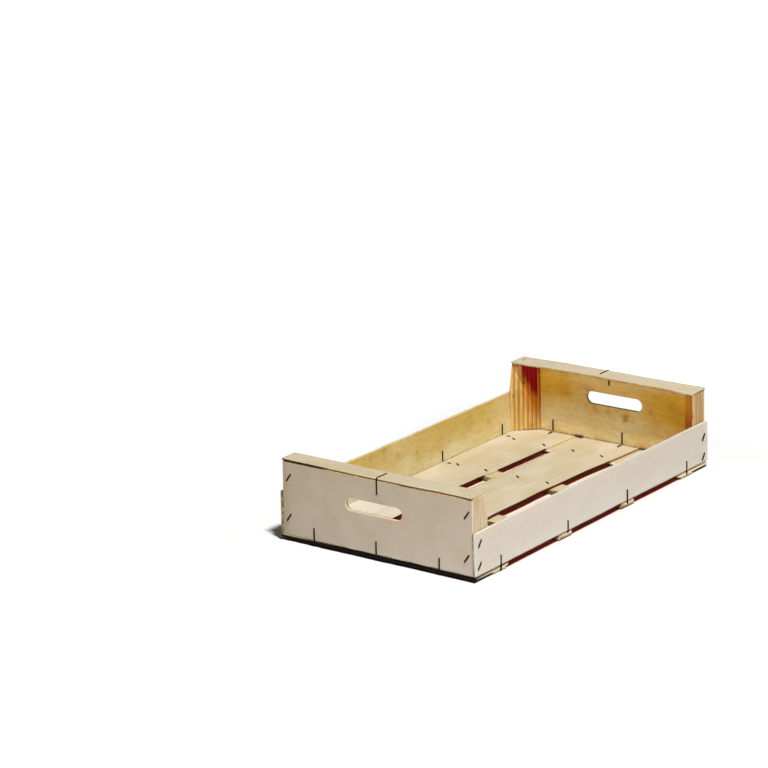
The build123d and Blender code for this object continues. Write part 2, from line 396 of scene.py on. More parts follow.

# %% [markdown]
# A piece is put into Blender in one go. Its faces are turned so that the volume they enclose counts as
# positive, which is what pointing outwards means. Values travel with each point for the finish: its place
# along, across and through the grain, which side of the plank it is on, and how far it is cut edge, warm,
# stained or darkened; both the stain and the darkening are partly painted shade. A grain that follows the
# piece needs no turned texture, and a seeded shift keeps two boards from showing the same figure.

# %% Putting a piece into the scene
grain_reach = 40.0
crease_angle = np.radians(40)


def turned_outwards(points, quads, triangles):
    """The faces, turned round if the triple products of their triangles add up to less than nothing."""
    a, b, c = (points[column] for column in
               np.concatenate((quads[:, [0, 1, 2]], quads[:, [0, 2, 3]], triangles)).T)
    if np.sum(np.einsum("ij,ij->i", a, np.cross(b, c))) < 0:
        return quads[:, ::-1], triangles[:, ::-1]
    return quads, triangles


def put_piece(node, ending, slot, points, quads, triangles, values):
    """Makes the mesh, hangs the named values on its points, and lets it ride and stand for its node."""
    quads, triangles = turned_outwards(points, quads, triangles)
    mesh = bpy.data.meshes.new(node + ending)
    mesh.from_pydata(points.tolist(), [], quads.tolist() + triangles.tolist())
    for label, numbers in values.items():
        kind, field = ("FLOAT_VECTOR", "vector") if numbers.ndim == 2 else ("FLOAT", "value")
        layer = mesh.attributes.new(label, kind, "POINT")
        layer.data.foreach_set(field, np.ascontiguousarray(numbers, np.float32).ravel())
    mesh.shade_smooth()
    mesh.set_sharp_from_angle(angle=crease_angle)
    mesh.materials.append(finishes[slot])
    piece = bpy.data.objects.new(node + ending, mesh)
    scene.collection.objects.link(piece)
    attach(piece, "root")
    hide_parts(node)
    return piece


def grain_place(seed, along, across, through):
    """Where each point lies in its own board, shifted by a seeded amount."""
    shift = np.random.default_rng(seed).uniform(-grain_reach, grain_reach, 3)
    return np.column_stack((along, across, through)) + shift


# %% [markdown]
# Poplar for crates is peeled from the log like a sheet from a roll. The knife runs along the growth
# rings, so the figure is made of wide wandering lines that close on themselves like contours on a map.
# That is what the group draws: stretched noise is folded back and forth, and only the folds show. Fine
# fibres, small brown flecks and slow changes of tone come from noises of other sizes.

# %% Peeled veneer figure
fold_count, fold_height = 7.0, 0.5

peeled_figure, given, result = new_group(
    "peeled_figure", {"Vector": ["Place"]},
    {"Float": ["Figure", "Fibre", "Speck", "Tone", "Blotch", "Mottle"]})
waves = peeled_figure.cloud(given["Place"], 0.10, 26.0, 1.5, 0.3)
folded = peeled_figure.step("PINGPONG", peeled_figure.times(waves, fold_count), fold_height)
flecks = peeled_figure.cloud(given["Place"], 0.35, 260.0, 1.0)
peeled_figure.feed_all(result, {
    "Figure": peeled_figure.spread(folded, 0.22, fold_height),
    "Speck": peeled_figure.spread(flecks, 0.72, 0.80),
    "Fibre": peeled_figure.cloud(given["Place"], 0.03, 620.0, 4.0),
    "Tone": peeled_figure.cloud(given["Place"], 0.5, 22.0, 5.0, 0.4, 0.62),
    "Blotch": peeled_figure.cloud(given["Place"], 0.7, 160.0, 3.0, 0.5),
    "Mottle": peeled_figure.cloud(given["Place"], 0.4, 240.0, 4.0, 0.8, 0.65),
})
print("group", peeled_figure.tree.name, "with", len(peeled_figure.tree.nodes), "nodes")

# %% [markdown]
# One group turns such masks into wood colour, whatever the piece. The ground colour is deepened along the
# figure, in the darker clouds and between fibres. Then come the cut edges, stains and flecks, and last a
# near-black for soil and dark joints. On several pieces the stain and the near-black also paint shade where
# the crate's shadows fall. The same masks give a height for the bump and the roughness, so the fibres catch
# the light where they show as lines.

# %% Wood colour
# Near-black for soil and dark joints, and for painted shade.
grime_and_shade_colour = (0.004, 0.001, 0.0008)
deep_bands = {"Tone": (0.35, 0.70), "Mottle": (0.40, 0.66), "Fibre": (0.40, 0.70)}
fibre_lift, fibre_rough, least_rough = 0.7, 0.2, 0.55

wood_colour, given, result = new_group(
    "wood_colour",
    {"Color": ["Ground", "Deepen", "Dirt", "Edge"],
     "Float": ["Figure", "Fibre", "Tone", "Mottle", "Speck", "Stain", "Rim", "Grime",
               "Figure Depth", "Fibre Depth", "Tone Depth", "Mottle Depth", "Speck Depth"]},
    {"Color": ["Colour"], "Float": ["Roughness", "Height"]})
figure_share = wood_colour.times(given["Figure"], given["Figure Depth"])
deep_share = figure_share
for label, band in deep_bands.items():
    one_share = wood_colour.times(wood_colour.spread(given[label], *band), given[label + " Depth"])
    deep_share = wood_colour.plus(deep_share, one_share, clamp=True)
deepened = wood_colour.mixed(1.0, given["Ground"], given["Deepen"], "MULTIPLY")
toned = wood_colour.mixed(deep_share, given["Ground"], deepened)
edged = wood_colour.mixed(given["Rim"], toned, given["Edge"])
speck_share = wood_colour.times(given["Speck"], given["Speck Depth"])
dirtied = wood_colour.mixed(wood_colour.plus(speck_share, given["Stain"], clamp=True), edged, given["Dirt"])
wood_colour.feed_all(result, {
    "Colour": wood_colour.mixed(given["Grime"], dirtied, grime_and_shade_colour),
    "Height": wood_colour.step("SUBTRACT", wood_colour.times(given["Fibre"], fibre_lift), figure_share),
    "Roughness": wood_colour.plus(wood_colour.times(given["Fibre"], fibre_rough), least_rough),
})
print("group", wood_colour.tree.name, "with", len(wood_colour.tree.nodes), "nodes")

# %% [markdown]
# The veneers share one recipe with their own colours. Outside, the crate has greyed to cream and taupe, and
# inside it is yellow: the yellow of fresh poplar, deepened with painted warm light that stands for light
# bounced between the walls. So the ground goes from the inner to the outer colour through the thickness. The
# edge shows the plies as stripes across that same thickness.

# %% Veneer finishes
ply_bump = 0.00012
veneer_masks = ("Figure", "Fibre", "Tone", "Speck", "Mottle")
own_values = ("face", "rim", "stain", "warm", "grime")


def veneer_finish(name, inner, warm, outer, aged, deepen, dirt, edge, core, depths, calm,
                  patches=(0.25, 0.60)):
    """Peeled wood. Inner and outer go to warm and aged where the piece is warm, deepen multiplies, and core
    is the middle ply's edge. Depths are those of figure, tone, fibre, specks and mottle; outside, figure,
    tone and mottle are calmer by a share. Stains come in patches, between two levels of the blotches."""
    bench, sockets = new_finish(name)
    side, rim, stain, warmth, grime = (bench.own_value(label) for label in own_values)
    figure = bench.placed(peeled_figure, Place=bench.own_value("grain", "Vector"))
    is_outside = bench.spread(side, 0.4, 0.6)
    ground = bench.mixed(is_outside, bench.mixed(warmth, inner, warm), bench.mixed(warmth, outer, aged))
    seen = bench.step("SUBTRACT", 1.0, bench.times(is_outside, calm))
    middle_ply = bench.times(bench.spread(side, 0.28, 0.34), bench.spread(side, 0.72, 0.66))
    figure_depth, tone_depth, fibre_depth, speck_depth, mottle_depth = depths
    coat = bench.placed(
        wood_colour, Ground=ground, Deepen=deepen, Dirt=dirt, Edge=bench.mixed(middle_ply, edge, core),
        Stain=bench.times(stain, bench.spread(figure["Blotch"], *patches)), Rim=rim, Grime=grime,
        Figure_Depth=bench.times(seen, figure_depth), Tone_Depth=bench.times(seen, tone_depth),
        Mottle_Depth=bench.times(seen, mottle_depth), Fibre_Depth=fibre_depth, Speck_Depth=speck_depth,
        **{label: figure[label] for label in veneer_masks})
    finish_surface(bench, sockets, coat, ply_bump)


veneer_finish(
    "poplar_ply", inner=(0.88, 0.75, 0.44), warm=(0.79, 0.47, 0.052), outer=(0.504, 0.435, 0.368),
    aged=(0.345, 0.284, 0.205), deepen=(0.84, 0.72, 0.50), dirt=(0.46, 0.21, 0.025), edge=(0.66, 0.57, 0.40),
    core=(0.50, 0.40, 0.24), depths=(0.10, 0.55, 0.15, 0.3, 0.55), calm=0.7)
veneer_finish(
    "poplar_panel", inner=(0.84, 0.77, 0.50), warm=(0.745, 0.56, 0.165), outer=(0.645, 0.58, 0.50),
    aged=(0.715, 0.670, 0.585), deepen=(0.84, 0.73, 0.54), dirt=(0.28, 0.22, 0.085), edge=(0.57, 0.52, 0.41),
    core=(0.57, 0.52, 0.41), depths=(0.10, 0.55, 0.14, 0.4, 0.45), calm=0.7)
veneer_finish(
    "poplar_strip", inner=(0.50, 0.36, 0.18), warm=(0.50, 0.36, 0.18), outer=(0.50, 0.43, 0.315),
    aged=(0.57, 0.50, 0.38), deepen=(0.84, 0.76, 0.60), dirt=(0.45, 0.27, 0.067), edge=(0.52, 0.44, 0.30),
    core=(0.52, 0.44, 0.30), depths=(0.16, 0.45, 0.25, 0.4, 0.40), calm=0.2)
# Boards and battens are dark red below, and a board's edge over open ground takes its dark red second colour:
# painted shade, which makes the shade under the crate dark red. The battens' cut edges are painted pale,
# painted light that makes up for the shade under the boards.
veneer_finish(
    "poplar_board", inner=(0.12, 0.015, 0.012), warm=(0.12, 0.015, 0.012), outer=(0.64, 0.60, 0.52),
    aged=(0.545, 0.480, 0.345), deepen=(0.86, 0.76, 0.56), dirt=(0.22, 0.045, 0.014), edge=(0.66, 0.55, 0.33),
    core=(0.60, 0.47, 0.24), depths=(0.14, 0.60, 0.15, 0.5, 0.22), calm=0.0, patches=(-1.0, 0.0))
veneer_finish(
    "poplar_batten", inner=(0.12, 0.015, 0.012), warm=(0.12, 0.015, 0.012), outer=(0.58, 0.48, 0.31),
    aged=(0.58, 0.48, 0.31), deepen=(0.82, 0.70, 0.50), dirt=(0.34, 0.19, 0.05), edge=(0.92, 0.76, 0.46),
    core=(0.92, 0.76, 0.46), depths=(0.20, 0.30, 0.15, 0.15, 0.15), calm=0.0)
print("finishes so far:", sorted(finishes))

# %% [markdown]
# The posts are sawn pine, and sawing cuts across the rings: they run down a face as straight stripes,
# pale and broad in spring wood, thin and orange in late wood. The rings are worked out from the
# distance to a pith that lies well outside the post, with a little noise so that they aren't ruled lines.
# Two posts have wood from the heart of a log, orange to deep red, which a value of their own marks; on one of
# them the deep red also stands for painted shade of the cap. More values say how tan a post has become
# outside, how strongly its rings show, where it is stained, and where it is painted bright, which is painted
# light.

# %% Pine finish
ring_width, ring_sway, pine_bump = 0.0066, 0.006, 0.0002
pith_across, pith_through = 0.160, -0.130
sap_inner, sap_outer, sap_tan = (0.65, 0.47, 0.17), (0.61, 0.505, 0.355), (0.53, 0.375, 0.170)
heart_orange, heart_red = (0.82, 0.36, 0.045), (0.40, 0.008, 0.013)
# A post goes towards the bright colour where its bright value is high: painted light in the far left post's
# cap shade, and a little paler at its foot.
pine_deepen, pine_dirt, pine_bright = (0.62, 0.38, 0.14), (0.10, 0.025, 0.010), (0.95, 0.72, 0.31)
post_values = ("face", "heart", "tan", "stripes", "bright", "stain")

pine_rings, given, result = new_group(
    "pine_rings", {"Vector": ["Place", "Section"]}, {"Float": ["Late Wood", "Fibre", "Tone", "Speck"]})
section = pine_rings.node("SeparateXYZ")
pine_rings.feed(section.inputs[0], given["Section"])
across = pine_rings.plus(section.outputs["Y"], pith_across)
through = pine_rings.plus(section.outputs["Z"], pith_through)
squares = pine_rings.plus(pine_rings.times(across, across), pine_rings.times(through, through))
sway = pine_rings.times(pine_rings.cloud(given["Place"], 0.10, 60.0), ring_sway)
from_pith = pine_rings.plus(pine_rings.step("SQRT", squares), sway)
ring = pine_rings.step("FRACT", pine_rings.step("DIVIDE", from_pith, ring_width))
pine_rings.feed_all(result, {
    "Late Wood": pine_rings.times(pine_rings.spread(ring, 0.35, 0.85), pine_rings.spread(ring, 1.0, 0.93)),
    "Fibre": pine_rings.cloud(given["Place"], 0.03, 700.0, 4.0),
    "Tone": pine_rings.cloud(given["Place"], 0.3, 45.0, 3.0),
    "Speck": pine_rings.spread(pine_rings.cloud(given["Place"], 0.6, 150.0, 1.0), 0.72, 0.78),
})

pine, sockets = new_finish("pine_post")
side, heart, tan, stripes, bright, stain = (pine.own_value(label) for label in post_values)
rings = pine.placed(
    pine_rings, Place=pine.own_value("grain", "Vector"), Section=pine.own_value("section", "Vector"))
sap = pine.mixed(side, sap_inner, pine.mixed(tan, sap_outer, sap_tan))
patchy = pine.times(heart, pine.spread(rings["Tone"], -0.2, 0.35))
towards_heart = pine.mixed(pine.spread(patchy, 0.0, 0.5), sap, heart_orange)
coat = pine.placed(
    wood_colour, Ground=pine.mixed(pine.spread(patchy, 0.5, 1.0), towards_heart, heart_red),
    Deepen=pine_deepen, Dirt=pine_dirt, Edge=pine_bright, Stain=stain, Rim=bright, Grime=0.0,
    Figure=rings["Late Wood"], Fibre=rings["Fibre"], Tone=rings["Tone"], Speck=rings["Speck"],
    Figure_Depth=pine.times(stripes, 0.95), Speck_Depth=pine.times(stripes, 0.7),
    Tone_Depth=0.35, Fibre_Depth=0.45)
finish_surface(pine, sockets, coat, pine_bump)
print("ring width of the pine, mm:", round(ring_width / MM, 2))

# %% [markdown]
# The stitching is black annealed wire. It is dark all over, with a dull sheen where the machine's jaws
# rubbed it and a trace of rust in the pits.

# %% Wire finish
wire_black, wire_rubbed, wire_rust = (0.003, 0.0025, 0.0025), (0.012, 0.010, 0.009), (0.022, 0.008, 0.004)
wire_gloss = 0.05

wire, sockets = new_finish("staple_wire")
place = wire.own_value("grain", "Vector")
rubbed = wire.cloud(place, 1.0, 900.0, 3.0)
rusted = wire.spread(wire.cloud(place, 1.0, 400.0), 0.62, 0.75)
wire.feed_all(sockets, {
    "Base Color": wire.mixed(rusted, wire.mixed(rubbed, wire_black, wire_rubbed), wire_rust),
    "Roughness": wire.plus(wire.times(rubbed, 0.3), 0.5), "Specular IOR Level": wire_gloss,
})
print("finishes:", sorted(finishes))

# %% [markdown]
# A plank's place and size come from its node's box. Which axes run along, across and through it is
# said once, and a warp adds what drying does: the faces bow by a fraction of a millimetre, and the
# edges wander where the knife or the saw wandered. What a plank looks like is given by functions that
# take four arrays: the place along and across, in metres, the share of the way across, and the face,
# which goes from 0 inside the crate to 1 outside it, or from 0 below to 1 above.

# %% Planks
plank_axes = {"side": (1, 2, 0), "board": (1, 0, 2), "bar": (0, 1, 2)}
plank_spacing, across_spacing = 4.0 * MM, 5.0 * MM
long_wander, short_wander, bow_length = 0.11, 0.03, 0.25


def stain_map(first, second, spots):
    """A sum of soft round spots: each has a place, a radius and a strength, and falls off like a bell."""
    total = np.zeros_like(first)
    for first_at, second_at, radius, strength in spots:
        squared = (first - first_at * MM) ** 2 + (second - second_at * MM) ** 2
        total = total + strength * np.exp(-squared / (2 * (radius * MM) ** 2))
    return np.clip(total, 0.0, 1.0)


def line_at(line, along):
    """The value, in mm, of a line through a few points (along, value), straight between them."""
    places, values = np.transpose(line)
    return np.interp(along, places, values)


def wandering(seed, along):
    """An edge's way from the straight line: a long ripple and half as much of a short one."""
    return ripple(seed, long_wander, along) + 0.5 * ripple(seed + 1, short_wander, along)


def nothing(along, across, share, face):
    """No mark anywhere."""
    return np.zeros_like(along)


def plank(node, kind, slot, seed, outer=1, radius=0.5, wander=0.25, bow=0.25, edges=None, moved=None,
          spots=(), stain=nothing, warm=nothing, grime=nothing, pale=nothing):
    """A rectangle carried along its grain, with wandering edges and bowed faces. Two edge lines may replace
    its straight edges, and moved gives a shift across and through. Spots lie on the inner face. Where pale
    is high, the inner face has the outer colour. Lengths are in mm."""
    low, high = (np.array(corner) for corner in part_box(node))
    s_axis, a_axis, n_axis = plank_axes[kind]
    corners = [(low[a_axis], low[n_axis]), (high[a_axis], low[n_axis]),
               (high[a_axis], high[n_axis]), (low[a_axis], high[n_axis])]
    along, across, through, pushes, end_share = carried(
        corners, radius * MM, low[s_axis], high[s_axis], plank_spacing, across_spacing)
    share = (across - low[a_axis]) / (high[a_axis] - low[a_axis])
    depth = (through - low[n_axis]) / (high[n_axis] - low[n_axis])
    face = depth if outer > 0 else 1.0 - depth
    if edges is not None:
        low_edge, high_edge = (line_at(line, along / MM) for line in edges)
        across = MM * (low_edge + (high_edge - low_edge) * share)
    low_wander, high_wander = wandering(seed, along), wandering(seed + 2, along)
    across = across + wander * MM * ((1 - share) * low_wander + share * high_wander)
    through = through + bow * MM * ripple(seed + 4, bow_length, along, across)
    cut_edge = ramp(np.abs(pushes[:, 0]), 0.5, 0.9)[None] * np.ones_like(along)
    place = (along, across, share, face)
    marks = stain_map(along, across, spots) * (face < 0.5)
    values = {
        "face": np.maximum(face, pale(*place)),
        "rim": np.maximum(cut_edge, ramp(end_share, 0.3, 0.9)[:, None]),
        "stain": np.clip(marks + stain(*place), 0.0, 1.0),
        "warm": np.clip(warm(*place), 0.0, 1.0), "grime": grime(*place),
    }
    values = {label: with_middles(grid) for label, grid in values.items()}
    values["grain"] = grain_place(seed, *(with_middles(grid) for grid in (along, across, through)))
    if moved is not None:
        shift_across, shift_through = moved(*place)
        across, through = across + MM * shift_across, through + MM * shift_through
    places = [None, None, None]
    places[s_axis], places[a_axis], places[n_axis] = along, across, through
    points = np.column_stack([with_middles(grid) for grid in places])
    return put_piece(node, "_wood", slot, points, *tube_faces(*along.shape), values)


print("plank kinds:", sorted(plank_axes))

# %% [markdown]
# Sides and caps each have their own marks. The left side is golden, paler towards the floor, and painted pale
# at the foot of its near part, which is painted light. The right side sits a little low and spreads towards
# the near end, and outside it is painted paler towards its foot, which is painted light. The near cap has a
# dark open joint under its front edge, and its front edge is painted black at the left and brown at the right
# as painted shade. The far cap arches slightly, its inner edge is as brown as the panel under it, and it
# takes a paler colour all over, painted light that makes up for the dimmer far end.

# %% Sides and caps
left_marks = [
    (-31.0, 52.0, 3.0, 0.6), (-24.0, 47.0, 2.5, 0.4), (19.0, 41.5, 3.0, 0.6), (101.0, 38.5, 3.0, 0.4),
    (202.0, 41.0, 3.5, 0.5), (-62.0, 66.0, 4.0, 0.5), (-95.0, 66.0, 3.0, 0.4), (150.0, 58.0, 5.0, 0.2),
]
near_cap_lines = (((-161.0, -298.5), (161.0, -298.5)), ((-161.0, -268.5), (161.0, -267.5)))
side_end, cap_end, cap_edge = 0.2992, 0.1605, 0.02


def near_foot(along, share):
    """1 at the foot of a side's near part, with soft borders."""
    return ramp(-along, 0.05, 0.15) * ramp(-share, -0.60, -0.20)


def left_warmth(along, across, share, face):
    """Golden in the upper part, in long clouds, and paler in the upper far corner."""
    upper_part = ramp(share + 0.10 * ripple(13, 0.09, along), 0.08, 0.62)
    golden = 0.08 + 0.74 * upper_part + 0.15 * ramp(share, 0.75, 0.95) + 0.10 * ramp(along, 0.10, 0.16)
    far_corner = 0.25 * ramp(along + 0.5 * across, 0.22, 0.28) * ramp(share, 0.55, 0.8)
    clouds = 0.22 * ripple(12, 0.14, along, share * 0.1)
    # At the near foot the inner face takes the outer colours, and the added warmth gives the pale aged one
    # there: painted light.
    return golden - far_corner + near_foot(along, share) + clouds


def right_paleness(along, across, share, face):
    """Outside, paler towards the foot, which is painted light, and at the far end. Inside, as golden as the
    left side.
    """
    outside = np.clip(1.0 - share / 0.8, 0.0, 1.0) ** 1.6 + 0.5 * ramp(along, 0.290, 0.2925)
    return np.where(face > 0.5, outside, left_warmth(along, across, share, face))


def near_painted_light(along, across, share, face):
    """The foot of the near part is painted pale, which is painted light, and a thin strip just above the
    floor further on is pale too.
    """
    strip = 0.8 * ramp(-share, -0.040, -0.012) * ramp(along, -0.02, 0.03)
    return np.maximum(strip, 0.56 * near_foot(along, share))


def end_stain(along, across, share, face):
    """Brown end grain."""
    return 0.8 * (np.abs(along) > side_end)


def side_dark_lines(along, across, share, face):
    """Dark at the foot of both faces, and a broken dark line down the near end grain."""
    dashes = 0.8 * (along < -side_end) * (face < 0.35) * broken(9, 0.012, across, -0.5, 0.2)
    outside_foot = 0.75 * (face > 0.5) * ramp(-share, -0.022, -0.004)
    inside_foot = 0.28 * (face < 0.5) * ramp(-share, -0.03, -0.005) * broken(7, 0.02, along, -0.6, 0.3)
    return np.max((inside_foot * ramp(along, -0.13, -0.09), outside_foot, dashes), axis=0)


def left_set(along, across, share, face):
    """The outer face runs in by up to 1.6 mm towards the near end, most at the top."""
    return 0.0, face * (0.6 + 1.0 * share) * ramp(-along, 0.20, 0.29)


def right_splay(along):
    """How far the right side stands out, in mm: most at the near end and nothing beyond the middle."""
    return 1.2 * ramp(-along, 0.0, 0.28)


def right_set(along, across, share, face):
    """Lower by up to 2 mm at the top, and outwards towards the near end."""
    return -0.2 - 1.8 * share, right_splay(along)


def near_cap_joint_shade(along, across, share, face):
    """Painted shade: black on the front edge and the left end, most of it at the left, and a thin line
    further on.
    """
    thick = ramp(-along, 0.074, 0.090) * ramp(-face, -1.0, -0.55)
    thin = 0.88 * ramp(-face, -0.72, -0.28)
    return ((share < cap_edge) | (along < -cap_end)) * np.maximum(thick, thin)


def near_cap_brown_shade(along, across, share, face):
    """Painted shade: brown on the lower half of the front edge, and higher up in its left half."""
    lower_half = ramp(-face, -0.85, -0.35)
    higher_up = ramp(-along, 0.010, 0.050) * ramp(-face, -1.05, -0.60)
    return 0.9 * (share < cap_edge) * np.maximum(lower_half, higher_up)


def far_cap_shade_line(along, across, share, face):
    """Painted shade: broken dark lines along the lower edge of the cap, on the side that looks into the
    crate, and a dark line under its right end."""
    torn = 0.7 * (share < cap_edge) * ramp(-face, -0.35, -0.05) * broken(8, 0.022, along, 0.0, 0.4)
    return np.maximum(torn, 0.85 * (along > cap_end) * ramp(-face, -0.35, -0.15))


def far_cap_stain(along, across, share, face):
    """The edge that looks into the crate is brown, less so over the left post."""
    between_posts = ramp(along, -0.128, -0.112) * ramp(-along, -0.142, -0.125)
    over_post = 0.5 * ramp(-along, 0.112, 0.128)
    return (share < cap_edge) * (face < 0.9) * np.maximum(between_posts, over_post)


def far_cap_arch(along, across, share, face):
    """Higher by 1 mm between the posts, and thicker by 2 mm at its far right corner."""
    corner = 2.0 * face * share * ramp(along, 0.110, 0.158)
    return 0.0, corner + 1.0 * ramp(along, -0.14, -0.09) * ramp(-along, -0.15, -0.11)


def all_over(along, across, share, face):
    """The second colour everywhere."""
    return np.ones_like(along)


side_panels = [
    plank("side_panel_left", "side", "poplar_panel", seed=11, outer=-1, spots=left_marks, moved=left_set,
          stain=end_stain, warm=left_warmth, grime=side_dark_lines, pale=near_painted_light),
    plank("side_panel_right", "side", "poplar_panel", seed=21, moved=right_set, warm=right_paleness,
          grime=side_dark_lines),
]
caps = [
    plank("cap_strip_front", "bar", "poplar_strip", seed=31, wander=0.35, bow=0.2, edges=near_cap_lines,
          stain=near_cap_brown_shade, grime=near_cap_joint_shade),
    # The far cap takes the paler second colour all over: painted light that makes up for the dimmer far end.
    plank("cap_strip_back", "bar", "poplar_strip", seed=41, wander=0.5, bow=0.2, moved=far_cap_arch,
          stain=far_cap_stain, warm=all_over, grime=far_cap_shade_line),
]
print("side panels and caps:", [len(piece.data.vertices) for piece in side_panels + caps])

# %% [markdown]
# Under the crate lie the soles and crossbars, and on them the three floor boards. The boards were fed
# by hand, so they aren't quite parallel, and each edge is a line through a few places along the crate.
# Over a bar or sole a board's edge is clean brown wood, and over open ground it is painted dark, a painted
# shade; so are the boards' undersides, their near ends and the lower edges of the bars. The boards are
# painted paler at the near end, which is painted light.

# %% Floor
bar_places = (-241.0, -241.0 / 3, 241.0 / 3, 241.0)
bar_reach, sole_start = 17.0, 219.0
board_lines = {
    "left": (
        ((-297.0, -163.5), (297.0, -163.5)),
        ((-297.0, -68.0), (-157.0, -71.0), (0.0, -74.5), (50.0, -73.4), (117.0, -69.9), (147.0, -68.8),
         (207.0, -68.0), (297.0, -65.0))),
    "middle": (
        ((-297.0, -59.0), (0.0, -56.5), (93.0, -54.2), (200.0, -53.2), (297.0, -49.5)),
        ((-297.0, 42.5), (-36.0, 38.9), (40.0, 39.0), (125.0, 41.4), (165.0, 42.4), (201.0, 44.4),
         (297.0, 50.4))),
    "right": (((-297.0, 64.0), (297.0, 67.0)), ((-297.0, 163.5), (297.0, 163.5))),
}
left_rim, right_rim, board_front = 0.005, 0.995, -0.2955
bar_front, bar_end = 0.03, 0.1645


def carried_on(along):
    """1 where a bar or a sole lies under the board, 0 over open ground."""
    nearest = np.min([np.abs(along - place * MM) for place in bar_places], axis=0)
    on_bar = ramp(-nearest, -(bar_reach + 1.0) * MM, -bar_reach * MM)
    return np.maximum(on_bar, ramp(np.abs(along), (sole_start - 1.0) * MM, sole_start * MM))


def board_painted_shade(along, across, share, face):
    """Painted shade: dark edges over open ground, and a dark front end but for clean slivers: at the left, in
    the middle, along the top of the right part, and faintly along the top everywhere."""
    clean = np.max((
        ramp(-across, 0.112, 0.140), 0.6 * np.exp(-((across - 0.022) / 0.006) ** 2),
        0.8 * ramp(across, 0.085, 0.110) * ramp(face, 0.45, 0.60), 0.35 * ramp(face, 0.80, 0.97)), axis=0)
    depth = 0.97 * (share < left_rim) + np.where(across > 0.15, 1.0, 0.86) * (share > right_rim)
    return np.where(along < board_front, 1.0 - 0.9 * clean, depth * (1.0 - carried_on(along)))


def board_edge_painted_shade(along, across, share, face):
    """Painted shade: the right edge is red-brown over open ground."""
    return (share > right_rim) * (1.0 - carried_on(along))


def board_warmth_and_light(along, across, share, face):
    """Yellower towards the far end and paler at the near end, where the paleness is painted light, in soft
    clouds, but less so along the left wall and more so in the middle."""
    middle = 0.30 * ramp(across, 0.005, 0.030) * ramp(along, -0.02, 0.06)
    along_wall = 0.25 * ramp(-across, 0.120, 0.155)
    clouds = 0.25 * ripple(55, 0.10, along, across)
    return 0.95 - 0.95 * ramp(-along, 0.04, 0.15) + middle - along_wall + clouds


def middle_bevel(along, across, share, face):
    """The knife slanted at the right edge of the middle board: its foot stands out, most in the near half."""
    return (share > 0.9) * (1.0 - face) * (1.3 + 1.4 * ramp(-along, -0.08, -0.04)), 0.0


def middle_edge_painted_shade(along, across, share, face):
    """Painted shade: the right edge of the middle board is red-brown, less so at the far end."""
    return (share > right_rim) * (1.0 - 0.35 * ramp(along, 0.19, 0.23))


def middle_painted_shade(along, across, share, face):
    """Painted shade as on every board, and a dark right edge over the bars too, less so at the far end."""
    dark_edge = (share > right_rim) * (0.62 - 0.25 * ramp(along, 0.10, 0.22))
    return np.maximum(board_painted_shade(along, across, share, face), dark_edge)


def sole_painted_shade(along, across, share, face):
    """Painted shade on the front edge of the sole."""
    return 1.0 * (share < bar_front)


def bar_brown_and_shade(along, across, share, face):
    """Brown on the near part of a crossbar's ends, and on its front, where it is painted shade."""
    return np.maximum(0.6 * (np.abs(along) > bar_end) * (share < 0.3), 1.0 * (share < bar_front))


def bar_painted_shade(along, across, share, face):
    """Painted shade: a dark line along the lower edge of a crossbar, at its front and its ends, and darker
    fronts on the two middle bars."""
    line = 0.9 * ((share < bar_front) | (np.abs(along) > bar_end)) * ramp(-face, -0.42, -0.15)
    front = 0.4 * (share < bar_front) * (np.abs(along) < 0.15) * (np.abs(across) < 0.12)
    return np.maximum(line, front)


usual_looks = {"stain": board_edge_painted_shade, "grime": board_painted_shade}
middle_looks = {"stain": middle_edge_painted_shade, "grime": middle_painted_shade, "moved": middle_bevel}
boards = [
    plank("floor_board_" + name, "board", "poplar_board", seed=51 + 10 * i, wander=0.4, bow=0.15, radius=0.4,
          edges=lines, warm=board_warmth_and_light, **(middle_looks if name == "middle" else usual_looks))
    for i, (name, lines) in enumerate(board_lines.items())
]
soles = [
    plank("end_sole_front", "bar", "poplar_batten", seed=91, wander=0.6, bow=0.1, grime=sole_painted_shade),
    plank("end_sole_back", "bar", "poplar_batten", seed=101, bow=0.1),
]
crossbars = [
    plank(f"crossbar_{i}", "bar", "poplar_batten", seed=101 + 10 * i, wander=0.5, bow=0.05, stain=bar_brown_and_shade,
          grime=bar_painted_shade)
    for i in range(1, 5)
]
print("floor pieces:", len(boards + soles + crossbars))

# %% [markdown]
# A post is a triangle carried upwards, with its right angle in the corner of the crate. Its long face looks
# into the crate. One post is widest a little above its middle. Its red lies above a slant that falls towards
# the end panel, and fades through orange downwards: heart wood, with painted shade of the cap in it.

# %% Corner posts
post_leg, wide_leg, post_round = 31.0, 34.5, 0.6
bent_legs = ((9.0, 32.5), (72.0, 37.0), (117.0, 28.5))
near_right_shift = 1.0
up_spacing, face_spacing = 1.5 * MM, 1.2 * MM
post_sway, sway_length = 0.25 * MM, 0.07
red_post, pale_post = "corner_post_back_left", "corner_post_front_right"
heart_width, heart_height = 0.044, 0.108
heart_knots = [(20.2, 76.0, 1.3, 0.8), (30.4, 7.6, 1.1, 0.6), (17.0, 78.0, 1.0, 0.4), (34.0, 10.0, 0.9, 0.3)]
post_looks = {
    "corner_post_front_left": {"heart": 0.0, "tan": 0.3, "stripes": 0.6},
    "corner_post_front_right": {"heart": 0.0, "tan": 0.0, "stripes": 0.06},
    "corner_post_back_left": {"heart": 1.0, "tan": 0.5, "stripes": 1.0},
    "corner_post_back_right": {"heart": 0.5, "tan": 1.0, "stripes": 0.45},
}


